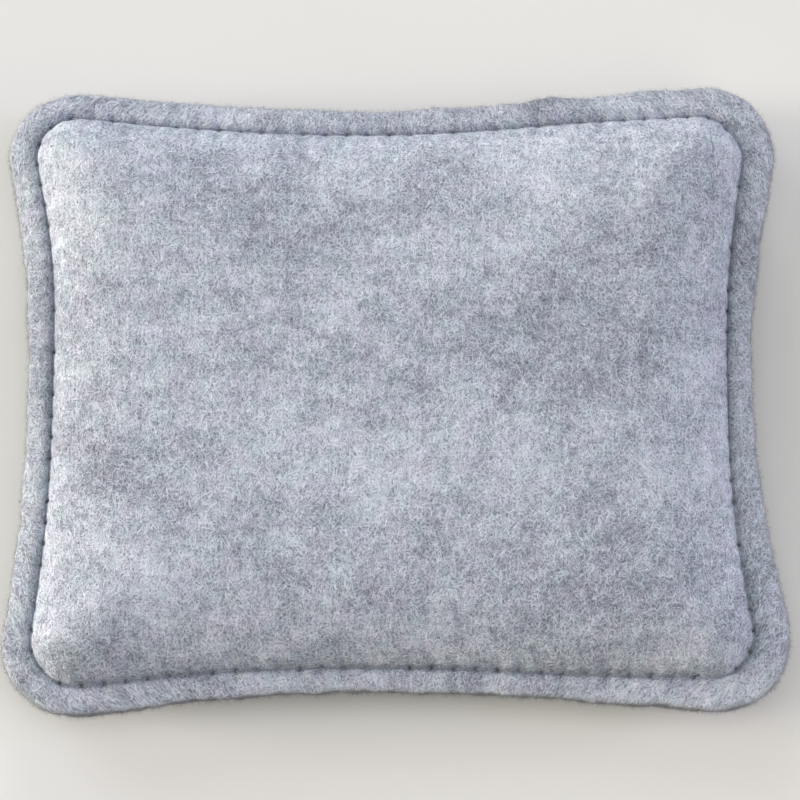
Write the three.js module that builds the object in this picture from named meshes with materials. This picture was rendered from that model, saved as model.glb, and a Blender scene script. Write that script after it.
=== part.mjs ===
// Needle felting pad: two thick felt sheets, lockstitched together inside their cut edge
// and stuffed firm with grain, so that the long and short sides are drawn in between the corners.
// Millimetres, +Z up. The origin is on the surface that the pad lies on, under its middle.
// +X runs along the long side.

import * as THREE from "three";

// Outline of the cut edge, measured over the corners
const PAD_WIDTH = 200;
const PAD_DEPTH = 163;
const CORNER_RADIUS = 17.5;
const END_DRAW_IN = 7; // each short side, at its middle
const SIDE_DRAW_IN = 5.4; // each long side, at its middle

// Felt
const FELT_THICKNESS = 3;
const SEAM_THICKNESS = 1.8; // one sheet, squeezed under the stitches
const SEAM_INSET = 6.8; // cut edge to stitch line

// Stuffed shape: heights are from the plane where the two sheets meet
const CROWN_HEIGHT = 17;
const BELLY_DEPTH = 13;
const CROWN_SHOULDER = 24; // how far in from the stitches the top becomes flat
const BELLY_SHOULDER = 28; // how far in from the stitches the underside becomes flat
const FULLNESS = 1.8; // exponent of the rounded flank: 2 is an ellipse, less rises more gently
const FILL_CLEARANCE = 0.3;

// Lockstitch
const STITCH_PITCH = 5.7;
const THREAD_DIAMETER = 0.5;
const THREAD_CLEARANCE = 0.2; // thread to felt, and thread to thread
const LEG_GAP = 0.4; // between the two legs of a thread in one needle hole
const LEG_SPLAY = 0.6; // how far a leg leans to its side, as a share of the room one thread takes
const KNEE_HEIGHT = 0.7; // where a leg bends in towards the clasp, as a share of the clasp's depth
const CLASP_WIDTH = 0.45; // how wide the clasp is, as a share of the spread of the legs
const CLOSING_RUN = 80; // the gap left for filling, closed by its own run of stitches
const QUARTERS = 4; // each quarter of the seam has the same number of stitches

// Facets
const FLANK_RINGS = 6;
const INNER_RINGS = 4;
const THREAD_SIDES = 3;

// The two threads of a stitch are clasped: each is a loop round the other, inside the needle hole.
const threadRadius = THREAD_DIAMETER / 2;
const threadRoom = THREAD_DIAMETER + THREAD_CLEARANCE;
const legAlong = (THREAD_DIAMETER + LEG_GAP) / 2;
const legAside = LEG_SPLAY * threadRoom;
const claspDepth = threadRoom / 2;
const holeHalfLength = legAlong + threadRadius + THREAD_CLEARANCE;
const holeHalfWidth = legAside + threadRadius + THREAD_CLEARANCE;

// Stitch line

const seamHalfWidth = PAD_WIDTH / 2 - SEAM_INSET;
const seamHalfDepth = PAD_DEPTH / 2 - SEAM_INSET;
const seamRadius = CORNER_RADIUS - SEAM_INSET;

// The stitch line runs anticlockwise from the middle of the +X side. Each hollow side is an arc
// about a point outside the pad, tangent to the round corners at its two ends.
function stitchLine() {
  const cornerX = seamHalfWidth - seamRadius;
  const cornerY = seamHalfDepth - seamRadius;
  const endReach = (cornerY ** 2 + END_DRAW_IN ** 2) / (2 * END_DRAW_IN);
  const sideReach = (cornerX ** 2 + SIDE_DRAW_IN ** 2) / (2 * SIDE_DRAW_IN);
  const endRadius = endReach - seamRadius;
  const sideRadius = sideReach - seamRadius;
  const endCentre = seamHalfWidth - END_DRAW_IN + endRadius;
  const sideCentre = seamHalfDepth - SIDE_DRAW_IN + sideRadius;
  const endSwing = Math.asin(cornerY / endReach);
  const sideSwing = Math.asin(cornerX / sideReach);
  const quarter = Math.PI / 2;

  const line = new THREE.CurvePath();
  const arc = (x, y, radius, from, to, clockwise) =>
    line.add(new THREE.EllipseCurve(x, y, radius, radius, from, to, clockwise));
  arc(endCentre, 0, endRadius, 2 * quarter, 2 * quarter - endSwing, true);
  arc(cornerX, cornerY, seamRadius, -endSwing, quarter + sideSwing, false);
  arc(0, sideCentre, sideRadius, -quarter + sideSwing, -quarter - sideSwing, true);
  arc(-cornerX, cornerY, seamRadius, quarter - sideSwing, 2 * quarter + endSwing, false);
  arc(-endCentre, 0, endRadius, endSwing, -endSwing, true);
  arc(-cornerX, -cornerY, seamRadius, 2 * quarter - endSwing, 3 * quarter + sideSwing, false);
  arc(0, -sideCentre, sideRadius, quarter + sideSwing, quarter - sideSwing, true);
  arc(cornerX, -cornerY, seamRadius, 3 * quarter - sideSwing, 4 * quarter + endSwing, false);
  arc(endCentre, 0, endRadius, 2 * quarter + endSwing, 2 * quarter, true);
  return line;
}

const seam = stitchLine();
const seamLength = seam.getLength();
const stitchCount = QUARTERS * Math.round(seamLength / STITCH_PITCH / QUARTERS);
const stitchLength = seamLength / stitchCount;
const holeAt = (stitch) => stitch * stitchLength + stitchLength / 2;

// The point at a distance along the stitch line, with the direction out of the pad there
function onSeam(along) {
  const share = THREE.MathUtils.euclideanModulo(along / seamLength, 1);
  const tangent = seam.getTangent(share);
  return { point: seam.getPoint(share), out: new THREE.Vector2(tangent.y, -tangent.x) };
}

// Loops of points round the pad, all anticlockwise

function loopAlong(places, outward, z) {
  return places.map((along) => {
    const { point, out } = onSeam(along);
    return new THREE.Vector3(point.x + outward * out.x, point.y + outward * out.y, z);
  });
}

const stitches = [...Array(stitchCount).keys()];
const holeCentres = stitches.map(holeAt);
const holeEnds = holeCentres.flatMap((at) => [at - holeHalfLength, at + holeHalfLength]);

// A loop inside the stitches, drawn in evenly by inset from the inner edge of the needle holes
function innerLoop(places, inset, z) {
  const shrinkX = 1 - inset / (seamHalfWidth - holeHalfWidth);
  const shrinkY = 1 - inset / (seamHalfDepth - holeHalfWidth);
  const shrink = new THREE.Vector3(shrinkX, shrinkY, 1);
  return loopAlong(places, -holeHalfWidth, z).map((p) => p.multiply(shrink));
}

// Faces between loops. A band runs from an outer loop to an inner one with as many points or half
// as many, and each needs its faces turned over where it is seen from below.

class Skin {
  constructor() {
    this.corners = [];
  }

  face(a, b, c, turned) {
    const order = turned ? [a, c, b] : [a, b, c];
    order.forEach((p) => this.corners.push(p.x, p.y, p.z));
  }

  quad(a, b, c, d, turned) {
    this.face(a, b, c, turned);
    this.face(a, c, d, turned);
  }

  band(outer, inner, turned) {
    const step = outer.length / inner.length;
    inner.forEach((p, i) => {
      const next = inner[(i + 1) % inner.length];
      const first = outer[step * i];
      const last = outer[(step * (i + 1)) % outer.length];
      if (step === 1) {
        this.quad(first, last, next, p, turned);
        return;
      }
      const middle = outer[step * i + 1];
      this.face(first, middle, p, turned);
      this.face(middle, last, next, turned);
      this.face(middle, next, p, turned);
    });
  }

  bands(loops, turned) {
    loops.slice(1).forEach((loop, i) => this.band(loops[i], loop, turned));
  }

  // Closes the last loop with a flat lid
  lid(loop, turned) {
    const middle = new THREE.Vector3(0, 0, loop[0].z);
    loop.forEach((p, i) => this.face(p, loop[(i + 1) % loop.length], middle, turned));
  }

  geometry() {
    const made = new THREE.BufferGeometry();
    made.setAttribute("position", new THREE.Float32BufferAttribute(this.corners, 3));
    made.computeVertexNormals();
    return made;
  }
}

// Stuffed flank

// A point of the flank's cross-section, from the stitches at share 0 to the flat middle at share 1,
// moved in by depth along the section's normal: inset from the needle holes, height from the plane
// where the sheets meet.
function flankPoint({ height, shoulder }, share, depth) {
  const turn = (share * Math.PI) / 2;
  const across = Math.cos(turn) ** (2 / FULLNESS);
  const up = Math.sin(turn) ** (2 / FULLNESS);
  const steepness = across ** (FULLNESS - 1) / shoulder;
  const flatness = up ** (FULLNESS - 1) / height;
  const normal = new THREE.Vector2(steepness, flatness).normalize();
  return {
    inset: shoulder * (1 - across) + depth * normal.x,
    height: height * up - depth * normal.y,
  };
}

const everySecond = (list) => list.filter((_, i) => i % 2 === 0);
const ringPlaces = everySecond(holeCentres);

// Loops of one side of the pad from near the stitches to the edge of the flat middle. side is 1 on
// top and -1 underneath.
function flankLoops(form, side, depth, rings) {
  return [...Array(rings).keys()].map((ring) => {
    const { inset, height } = flankPoint(form, (ring + 1) / rings, depth);
    return innerLoop(ringPlaces, inset, side * height);
  });
}

const crown = { height: CROWN_HEIGHT, shoulder: CROWN_SHOULDER };
const belly = { height: BELLY_DEPTH, shoulder: BELLY_SHOULDER };

// Felt sheets

const footShare = 1 / (2 * FLANK_RINGS); // half way up to the first ring of the flank

// One sheet of the cover: cut edge, rim, seam squeezed thin with a row of needle holes, flank and
// flat middle, with the same thickness everywhere but in the seam.
function feltSheet(form, side) {
  const skin = new Skin();
  const under = side < 0;
  const step = flankPoint(form, footShare, 0);
  const stepHeight = Math.max(step.height, SEAM_THICKNESS);

  const edgeInner = loopAlong(holeEnds, SEAM_INSET, 0);
  const edgeOuter = loopAlong(holeEnds, SEAM_INSET, side * FELT_THICKNESS);
  const rimOuter = loopAlong(holeEnds, holeHalfWidth, side * SEAM_THICKNESS);
  const rimInner = loopAlong(holeEnds, holeHalfWidth, 0);
  const footOuter = loopAlong(holeEnds, -holeHalfWidth, side * SEAM_THICKNESS);
  const footInner = loopAlong(holeEnds, -holeHalfWidth, 0);
  const foot = innerLoop(holeCentres, step.inset, side * stepHeight);
  const mouth = innerLoop(holeCentres, FELT_THICKNESS, 0);
  const outerFlank = flankLoops(form, side, 0, FLANK_RINGS);
  const innerFlank = flankLoops(form, side, FELT_THICKNESS, INNER_RINGS);

  skin.bands([edgeInner, edgeOuter, rimOuter], under);
  skin.bands([footOuter, foot, ...outerFlank], under);
  skin.lid(outerFlank.at(-1), under);

  skin.bands([edgeInner, rimInner], !under);
  skin.bands([footInner, mouth, ...innerFlank], !under);
  skin.lid(innerFlank.at(-1), !under);

  stitches.forEach((stitch) => {
    const start = 2 * stitch;
    const end = start + 1;
    const next = (start + 2) % holeEnds.length;
    skin.quad(rimOuter[end], rimOuter[next], footOuter[next], footOuter[end], under);
    skin.quad(rimInner[end], rimInner[next], footInner[next], footInner[end], !under);
    const outer = [rimOuter[start], rimOuter[end], footOuter[end], footOuter[start]];
    const inner = [rimInner[start], rimInner[end], footInner[end], footInner[start]];
    outer.forEach((p, i) => {
      const j = (i + 1) % outer.length;
      skin.quad(p, outer[j], inner[j], inner[i], under);
    });
  });
  return skin.geometry();
}

// Filling

// The grain packs the cover out to its inside faces, and comes to an edge level with the seam.
function fillingBody() {
  const skin = new Skin();
  const depth = FELT_THICKNESS + FILL_CLEARANCE;
  const waist = innerLoop(holeCentres, depth, 0);
  const above = flankLoops(crown, 1, depth, INNER_RINGS);
  const below = flankLoops(belly, -1, depth, INNER_RINGS);
  skin.bands([waist, ...above], false);
  skin.lid(above.at(-1), false);
  skin.bands([waist, ...below], true);
  skin.lid(below.at(-1), true);
  return skin.geometry();
}

// Thread

// Where a thread's middle goes in one stitch: along the seam from the hole, aside from the stitch
// line and up from the plane between the sheets. It lies on its own sheet between holes.
function stitchPath(side) {
  const lie = SEAM_THICKNESS + THREAD_CLEARANCE + threadRadius;
  const turn = legAlong + THREAD_CLEARANCE / 2;
  const half = [
    { along: -turn, aside: 0, up: lie },
    { along: -legAlong, aside: legAside, up: KNEE_HEIGHT * claspDepth },
    { along: -CLASP_WIDTH * legAlong, aside: CLASP_WIDTH * legAside, up: -claspDepth },
  ];
  const otherHalf = half.toReversed().map((p) => ({
    along: -p.along,
    aside: -p.aside,
    up: p.up,
  }));
  return [...half, ...otherHalf].map((p) => ({
    along: p.along,
    aside: side * p.aside,
    up: side * p.up,
  }));
}

// One unbroken thread through a run of needle holes. Each tail stops short of the middle of the
// stitch beyond its end, which leaves the next run's tail clear.
function threadRun(firstStitch, count, side) {
  const tail = stitchLength / 2 - THREAD_DIAMETER;
  const path = stitchPath(side);
  const run = stitches.slice(0, count).flatMap((i) => {
    const hole = holeAt(firstStitch + i);
    return path.map((p) => ({ ...p, along: hole + p.along }));
  });
  const lie = { aside: 0, up: path[0].up };
  run.unshift({ ...lie, along: holeAt(firstStitch) - tail });
  run.push({ ...lie, along: holeAt(firstStitch + count - 1) + tail });

  const centres = run.map(({ along, aside, up }) => loopAlong([along], aside, up)[0]);
  const skin = new Skin();
  const rings = centres.map((centre, i) => {
    const back = centres[Math.max(i - 1, 0)];
    const ahead = centres[Math.min(i + 1, centres.length - 1)];
    const tangent = ahead.clone().sub(back).normalize();
    const { out } = onSeam(run[i].along);
    const sideways = new THREE.Vector3(out.x, out.y, 0).projectOnPlane(tangent).normalize();
    const upright = tangent.clone().cross(sideways);
    return [...Array(THREAD_SIDES).keys()].map((corner) => {
      const turn = (2 * Math.PI * corner) / THREAD_SIDES;
      return centre
        .clone()
        .addScaledVector(sideways, threadRadius * Math.cos(turn))
        .addScaledVector(upright, threadRadius * Math.sin(turn));
    });
  });
  skin.bands(rings, false);
  [rings[0], rings.at(-1)].forEach((ring, end) => {
    ring.slice(2).forEach((p, i) => skin.face(ring[0], ring[i + 1], p, end === 0));
  });
  return skin.geometry();
}

// Assembly: everything hangs from the plane where the sheets meet

const felt = new THREE.MeshStandardMaterial({ color: 0xadb3bd, roughness: 0.95, metalness: 0 });
const thread = new THREE.MeshStandardMaterial({ color: 0xa9afb8, roughness: 0.7, metalness: 0 });
const grain = new THREE.MeshStandardMaterial({ color: 0xd9cba8, roughness: 0.8, metalness: 0 });

const closingCount = Math.round(CLOSING_RUN / stitchLength);
const closingStart = Math.round(stitchCount / QUARTERS - closingCount / 2);
const mainStart = closingStart + closingCount;
const mainCount = stitchCount - closingCount;

const pieces = [
  ["top_felt", feltSheet(crown, 1), felt],
  ["bottom_felt", feltSheet(belly, -1), felt],
  ["grain_filling", fillingBody(), grain],
  ["main_seam_needle_thread", threadRun(mainStart, mainCount, 1), thread],
  ["main_seam_bobbin_thread", threadRun(mainStart, mainCount, -1), thread],
  ["closing_seam_needle_thread", threadRun(closingStart, closingCount, 1), thread],
  ["closing_seam_bobbin_thread", threadRun(closingStart, closingCount, -1), thread],
];

const sewnPad = new THREE.Group();
sewnPad.position.z = BELLY_DEPTH;
pieces.forEach(([name, geometry, material]) => {
  const mesh = new THREE.Mesh(geometry, material);
  mesh.name = name;
  sewnPad.add(mesh);
});

const pad = new THREE.Group();
pad.add(sewnPad);

export default pad;
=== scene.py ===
"""Needle felting pad: two sheets of grey wool felt, lockstitched and stuffed with grain.

Metres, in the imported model's frame. Heights of the pad's shape are from the plane where the sheets meet.
"""

import math

import bpy
import numpy as np
from mathutils import Euler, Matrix, Vector, kdtree, noise

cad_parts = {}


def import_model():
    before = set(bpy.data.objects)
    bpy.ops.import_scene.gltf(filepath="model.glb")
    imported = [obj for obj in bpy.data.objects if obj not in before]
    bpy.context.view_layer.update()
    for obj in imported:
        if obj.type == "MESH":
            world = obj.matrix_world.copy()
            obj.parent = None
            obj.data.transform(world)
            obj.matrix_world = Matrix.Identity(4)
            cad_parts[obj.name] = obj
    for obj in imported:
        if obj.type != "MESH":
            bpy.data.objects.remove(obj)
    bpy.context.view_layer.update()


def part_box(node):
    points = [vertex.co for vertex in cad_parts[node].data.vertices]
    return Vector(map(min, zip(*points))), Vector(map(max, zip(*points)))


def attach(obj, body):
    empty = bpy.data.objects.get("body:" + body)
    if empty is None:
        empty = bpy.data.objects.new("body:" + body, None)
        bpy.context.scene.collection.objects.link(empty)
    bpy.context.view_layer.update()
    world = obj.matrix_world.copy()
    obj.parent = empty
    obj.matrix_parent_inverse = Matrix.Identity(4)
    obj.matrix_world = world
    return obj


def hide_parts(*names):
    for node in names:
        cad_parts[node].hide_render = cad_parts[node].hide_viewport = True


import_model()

MM = 0.001

# Outline. The four sides aren't drawn in quite alike.
pad_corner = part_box("top_felt")[1]
CORNER_RADIUS = 17.5 * MM
RIGHT_DRAW_IN = 7.8 * MM
BACK_DRAW_IN = 5.3 * MM
LEFT_DRAW_IN = 6.1 * MM
FRONT_DRAW_IN = 5.4 * MM
# The hand-cut edge strays from that, and the rim is wider at the corners. Millimetres, at each corner
# and at the quarters of the side after it, anticlockwise from the front right corner.
EDGE_SHIFTS = (0.2, 0.9, -0.7, 0.1, -0.4, 1.2, -0.5, -0.5, 0.0, -0.8, 0.2, 0.2, 0.2, -0.6, -0.2, 0.6)
RIM_WIDTHS = (9.7, 8.8, 5.6, 7.7, 8.5, 7.3, 6.9, 6.7, 7.0, 7.6, 6.4, 6.8, 7.4, 6.7, 6.0, 6.3)
CORNER_WIDENING = (1.2, 1.6, 0.6, 1.4)  # more rim at each corner, as the stitches cut across it
CORNER_REACH = 9 * MM
STRAY = 9 * MM  # over which the edge and the rim change gradually

# Felt and its stuffed shape
seam_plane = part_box("top_felt")[0].z
crown_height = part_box("top_felt")[1].z - seam_plane
belly_depth = seam_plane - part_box("bottom_felt")[0].z
FELT_THICKNESS = 3.0 * MM
SEAM_THICKNESS = 1.9 * MM
SHEET_GAP = 0.06 * MM
CROWN_SHOULDER = 24 * MM
BELLY_SHOULDER = 28 * MM
FULLNESS = 1.8
START_SHARE = 0.97  # of its height: the pad swells in the simulation

# Cage of each sheet: a rectangular grid in the middle, and rings from the cut edge in to it
GRID_HALF_X = 70 * MM
GRID_HALF_Y = 54 * MM
CELLS_X = 48
CELLS_Y = 39
RIM_RINGS = (
    # share of the way from the stitch line to the cut edge, height
    (0.965, SHEET_GAP),
    (0.997, 0.6 * MM),
    (1.0, 1.8 * MM),
    (0.985, 2.6 * MM),
    (0.94, 3.0 * MM),
    (0.75, 3.12 * MM),
    (0.45, 3.15 * MM),
    (0.25, 3.0 * MM),
    (0.1, 2.5 * MM),
    (0.02, SEAM_THICKNESS),
)
FLANK_SHARES = (0.02, 0.06, 0.12, 0.2, 0.3, 0.43, 0.58, 0.78, 1.0)

# Stitches
STITCHES = 116
CLOSING_STITCHES = 14

# Of what is random: the needle holes and the nap, and the unevenness of each sheet
SEED = 7
TOP_SEED = 11
BOTTOM_SEED = 12


# Stitch line

class Seam:
    """The stitch line and the cut edge beside it, anticlockwise from the middle of the front right corner."""

    ARC_STEPS = 400

    def __init__(self):
        plain = self.plain_edge()
        steps = np.linalg.norm(np.diff(plain, axis=0, append=plain[:1]), axis=1)
        along = np.cumsum(steps) - steps
        corners = np.append(along[self.corner_places()], steps.sum())
        tangent = np.roll(plain, -1, axis=0) - np.roll(plain, 1, axis=0)
        tangent /= np.linalg.norm(tangent, axis=1, keepdims=True)
        out = np.column_stack((tangent[:, 1], -tangent[:, 0]))
        shift = self.gradual(EDGE_SHIFTS, corners, along)
        width = self.gradual(RIM_WIDTHS, corners, along) + self.widening(corners, along)
        edge = plain + out * shift[:, None]
        stitches = edge - out * width[:, None]
        self.edge = np.concatenate((edge, edge[:1]))
        self.points = np.concatenate((stitches, stitches[:1]))
        self.along = np.concatenate(([0], np.cumsum(np.linalg.norm(np.diff(self.points, axis=0), axis=1))))
        self.length = self.along[-1]
        self.corners = np.append(self.along[self.corner_places()], self.length)

    def plain_edge(self):
        half_x = pad_corner.x - CORNER_RADIUS
        half_y = pad_corner.y - CORNER_RADIUS
        right, right_swing = self.hollow(half_y, RIGHT_DRAW_IN)
        back, back_swing = self.hollow(half_x, BACK_DRAW_IN)
        left, left_swing = self.hollow(half_y, LEFT_DRAW_IN)
        front, front_swing = self.hollow(half_x, FRONT_DRAW_IN)
        quarter = math.pi / 2
        start = 3 * quarter - front_swing
        stop = 4 * quarter + right_swing
        middle = (start + stop) / 2
        corner = CORNER_RADIUS
        right_centre = (pad_corner.x - RIGHT_DRAW_IN + right, 0)
        back_centre = (0, pad_corner.y - BACK_DRAW_IN + back)
        left_centre = (-pad_corner.x + LEFT_DRAW_IN - left, 0)
        front_centre = (0, -pad_corner.y + FRONT_DRAW_IN - front)
        arcs = [
            ((half_x, -half_y), corner, middle, stop),
            (right_centre, right, 2 * quarter + right_swing, 2 * quarter - right_swing),
            ((half_x, half_y), corner, -right_swing, quarter + back_swing),
            (back_centre, back, -quarter + back_swing, -quarter - back_swing),
            ((-half_x, half_y), corner, quarter - back_swing, 2 * quarter + left_swing),
            (left_centre, left, left_swing, -left_swing),
            ((-half_x, -half_y), corner, 2 * quarter - left_swing, 3 * quarter + front_swing),
            (front_centre, front, quarter + front_swing, quarter - front_swing),
            ((half_x, -half_y), corner, start, middle),
        ]
        return np.concatenate([self.arc(*a) for a in arcs])

    def corner_places(self):
        """Indices of the middles of the four corners."""
        return [int(self.ARC_STEPS * n) for n in (0, 2.5, 4.5, 6.5)]

    def hollow(self, half_span, draw_in):
        """Radius and half angle of a side's arc, which is tangent to the round corners at its ends."""
        reach = (half_span**2 + draw_in**2) / (2 * draw_in)
        return reach - CORNER_RADIUS, math.asin(half_span / reach)

    def arc(self, centre, radius, start, stop):
        turn = np.linspace(start, stop, self.ARC_STEPS, endpoint=False)
        return np.stack((centre[0] + radius * np.cos(turn), centre[1] + radius * np.sin(turn)), axis=1)

    def gradual(self, values, corners, along):
        """Values in millimetres at the corners and quarters of the sides, spread smoothly round the edge."""
        share = np.arange(4) / 4
        places = np.concatenate([a + share * (b - a) for a, b in zip(corners, corners[1:])])
        even = np.arange(0, corners[-1], MM)
        level = np.interp(even, places, values, period=corners[-1])
        bell = np.exp(-0.5 * (np.arange(-3 * STRAY, 3 * STRAY, MM) / STRAY) ** 2)
        spread = np.convolve(np.tile(level, 3), bell / bell.sum(), "same")[len(even) : 2 * len(even)]
        return MM * np.interp(along, even, spread, period=corners[-1])

    def widening(self, corners, along):
        """How much wider the rim is near the corners."""
        total = 0
        for corner, more in zip(corners, CORNER_WIDENING):
            away = (along - corner + corners[-1] / 2) % corners[-1] - corners[-1] / 2
            total = total + more * MM * np.exp(-0.5 * (away / CORNER_REACH) ** 2)
        return total

    def at(self, along, line):
        """Points of the stitch line, or of the edge beside it, at distances along the stitch line."""
        along = np.asarray(along) % self.length
        return np.stack([np.interp(along, self.along, line[:, i]) for i in (0, 1)], axis=-1)

    def point(self, along):
        return self.at(along, self.points)

    def rim(self, along):
        """The way from the stitch line to the cut edge."""
        return self.at(along, self.edge) - self.at(along, self.points)

    def out(self, along):
        """The way out of the pad."""
        step = 0.5 * MM
        tangent = self.point(along + step) - self.point(along - step)
        tangent /= np.linalg.norm(tangent, axis=-1, keepdims=True)
        return np.stack((tangent[..., 1], -tangent[..., 0]), axis=-1)


seam = Seam()
stitch_length = seam.length / STITCHES


class Locator:
    """Finds where points lie by the stitch line: how far along it and how far out from it."""

    def __init__(self):
        self.out = seam.out(seam.along)
        self.tree = kdtree.KDTree(len(seam.points))
        for i, (x, y) in enumerate(seam.points):
            self.tree.insert((x, y, 0), i)
        self.tree.balance()

    def __call__(self, points):
        nearest = np.array([self.tree.find((x, y, 0))[1] for x, y in points[:, :2]])
        across = ((points[:, :2] - seam.points[nearest]) * self.out[nearest]).sum(axis=1)
        return seam.along[nearest], across


locate = Locator()


# Cage

CORNER_POWER = 6
CORNER_NORM = math.sqrt(math.pi) * math.gamma((CORNER_POWER - 1) / 2) / math.gamma(CORNER_POWER / 2)
EXACT_INSET = 2 * MM
SOFT_INSET = 9 * MM
LEAST_APART = 0.1 * MM


def inset(points):
    """How far inside the stitch line points lie. Further in both sides of a corner count, which rounds it."""
    exact = np.maximum(-locate(points)[1], 0)
    steps = np.diff(seam.along)
    apart = np.linalg.norm(points[:, None, :2] - seam.points[None, :-1], axis=2)
    crowd = (steps * np.maximum(apart, LEAST_APART) ** -CORNER_POWER).sum(axis=1) / CORNER_NORM
    soft = crowd ** (-1 / (CORNER_POWER - 1))
    share = np.clip((exact - EXACT_INSET) / (SOFT_INSET - EXACT_INSET), 0, 1)
    share = share**2 * (3 - 2 * share)
    return exact + share * (soft - exact)


def up(depth, shoulder):
    """Height of the stuffed section that far inside the stitches: 0 at them, 1 where it becomes flat."""
    across = np.clip(1 - depth / shoulder, 0, 1)
    return (1 - across**FULLNESS) ** (1 / FULLNESS)


class Cage:
    """Points and faces of one sheet: rings from the cut edge in to the grid's border, then the grid."""

    def __init__(self, rings):
        self.rings = rings
        corners = np.array([(1, -1), (1, 1), (-1, 1), (-1, -1), (1, -1)]) * (GRID_HALF_X, GRID_HALF_Y)
        cells = (CELLS_Y, CELLS_X, CELLS_Y, CELLS_X)
        shares = [np.arange(n) / n for n in cells]
        self.border = np.concatenate(
            [a + s[:, None] * (b - a) for s, a, b in zip(shares, corners, corners[1:])]
        )
        self.places = np.concatenate(
            [a + s * (b - a) for s, a, b in zip(shares, seam.corners, seam.corners[1:])]
        )
        self.round = sum(cells)
        self.faces = self.ring_faces() + self.grid_faces()

    def ring_faces(self):
        n = self.round
        return [
            (r * n + k, r * n + (k + 1) % n, (r + 1) * n + (k + 1) % n, (r + 1) * n + k)
            for r in range(self.rings - 1)
            for k in range(n)
        ]

    def grid_faces(self):
        x, y = CELLS_X, CELLS_Y
        border = (
            [(x, k) for k in range(y)]
            + [(x - k, y) for k in range(x)]
            + [(0, y - k) for k in range(y)]
            + [(k, 0) for k in range(x)]
        )
        first = (self.rings - 1) * self.round
        index = {cell: first + k for k, cell in enumerate(border)}
        inner = [(i, j) for j in range(1, y) for i in range(1, x)]
        index.update({cell: first + self.round + k for k, cell in enumerate(inner)})
        shares = np.array([(2 * i / x - 1, 2 * j / y - 1) for i, j in inner])
        self.inner = shares * (GRID_HALF_X, GRID_HALF_Y)
        return [
            (index[i, j], index[i + 1, j], index[i + 1, j + 1], index[i, j + 1])
            for j in range(y)
            for i in range(x)
        ]

    def ring(self, r):
        return slice(r * self.round, (r + 1) * self.round)


def outer_cage(height, shoulder):
    """The outer face of a sheet before it swells, with the top facing up."""
    cage = Cage(len(RIM_RINGS) + len(FLANK_SHARES))
    stitch, out = seam.point(cage.places), seam.rim(cage.places)
    rim = [np.column_stack((stitch + share * out, np.full(cage.round, z))) for share, z in RIM_RINGS]
    flank = [stitch + share * (cage.border - stitch) for share in FLANK_SHARES]
    flat = np.concatenate(flank + [cage.inner])
    rise = up(inset(flat), shoulder)
    stuffed = np.column_stack((flat, SEAM_THICKNESS + (START_SHARE * height - SEAM_THICKNESS) * rise))
    cage.points = np.concatenate(rim + [stuffed])
    cage.pinned = len(RIM_RINGS) * cage.round
    return cage


# Meshes

def new_mesh(name, points, faces):
    mesh = bpy.data.meshes.new(name)
    mesh.from_pydata(points.tolist(), [], [tuple(f) for f in faces])
    mesh.update()
    return mesh


def new_object(name, mesh):
    obj = bpy.data.objects.new(name, mesh)
    bpy.context.scene.collection.objects.link(obj)
    return obj


def points_of(mesh):
    co = np.empty(len(mesh.vertices) * 3)
    mesh.vertices.foreach_get("co", co)
    return co.reshape(-1, 3)


def evaluated(obj):
    """The object's points and faces with its modifiers."""
    graph = bpy.context.evaluated_depsgraph_get()
    mesh = obj.evaluated_get(graph).to_mesh()
    points = points_of(mesh)
    corners = np.empty(len(mesh.loops), dtype=int)
    mesh.loops.foreach_get("vertex_index", corners)
    faces = corners.reshape(-1, 4)
    obj.evaluated_get(graph).to_mesh_clear()
    return points, faces


def discard(obj):
    mesh = obj.data
    bpy.data.objects.remove(obj)
    bpy.data.meshes.remove(mesh)


def subdivided(points, faces, levels):
    obj = new_object("scratch", new_mesh("scratch", points, faces))
    smooth = obj.modifiers.new("smooth", "SUBSURF")
    smooth.levels = levels
    result = evaluated(obj)
    discard(obj)
    return result


# Filling pressure: how hard it presses, for how many frames, and the most that a point moves
PRESSURE = 0.7
CLOTH_FRAMES = 20
CLOTH_CAP = 6 * MM
LEAST_MOVE = 1e-9


def inflated(cage):
    """The cage's points after the filling presses the sheet out, with the rim and the seam held still."""
    obj = new_object("scratch", new_mesh("scratch", cage.points, cage.faces))
    held = obj.vertex_groups.new(name="held")
    held.add(list(range(cage.pinned)), 1.0, "REPLACE")
    cloth = obj.modifiers.new("cloth", "CLOTH")
    settings = cloth.settings
    settings.quality = 6
    settings.mass = 0.3
    settings.tension_stiffness = 15
    settings.compression_stiffness = 15
    settings.shear_stiffness = 10
    settings.bending_stiffness = 5
    settings.air_damping = 2
    settings.use_pressure = True
    settings.uniform_pressure_force = PRESSURE
    settings.vertex_group_mass = "held"
    settings.effector_weights.gravity = 0
    cloth.collision_settings.use_collision = False
    cloth.point_cache.frame_start = 1
    cloth.point_cache.frame_end = CLOTH_FRAMES
    scene = bpy.context.scene
    for number in range(1, CLOTH_FRAMES + 1):
        scene.frame_set(number)
        bpy.context.view_layer.update()
    points, _ = evaluated(obj)
    discard(obj)
    scene.frame_set(1)
    move = points - cage.points
    far = np.linalg.norm(move, axis=1, keepdims=True)
    return cage.points + move * np.minimum(1, CLOTH_CAP / np.maximum(far, LEAST_MOVE))


# Rim and seam in detail

SEED_SHIFT = (17.3, 5.1, 2.7)  # how far apart in the noise two seeds are


def lumps(points, size, seed):
    """Smooth random heights, about -1 to 1, in lumps of that size."""
    shift = Vector([seed * s for s in SEED_SHIFT])
    return np.array([noise.noise(Vector(p) / size + shift) for p in points])


def round_noise(along, waves, seed):
    """Smooth random heights round the pad, which meet where the stitch line closes."""
    turn = 2 * math.pi * along / seam.length
    ring = np.column_stack((np.cos(turn), np.sin(turn), np.zeros_like(turn))) * waves / (2 * math.pi)
    return lumps(ring, 1.0, seed)


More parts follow.
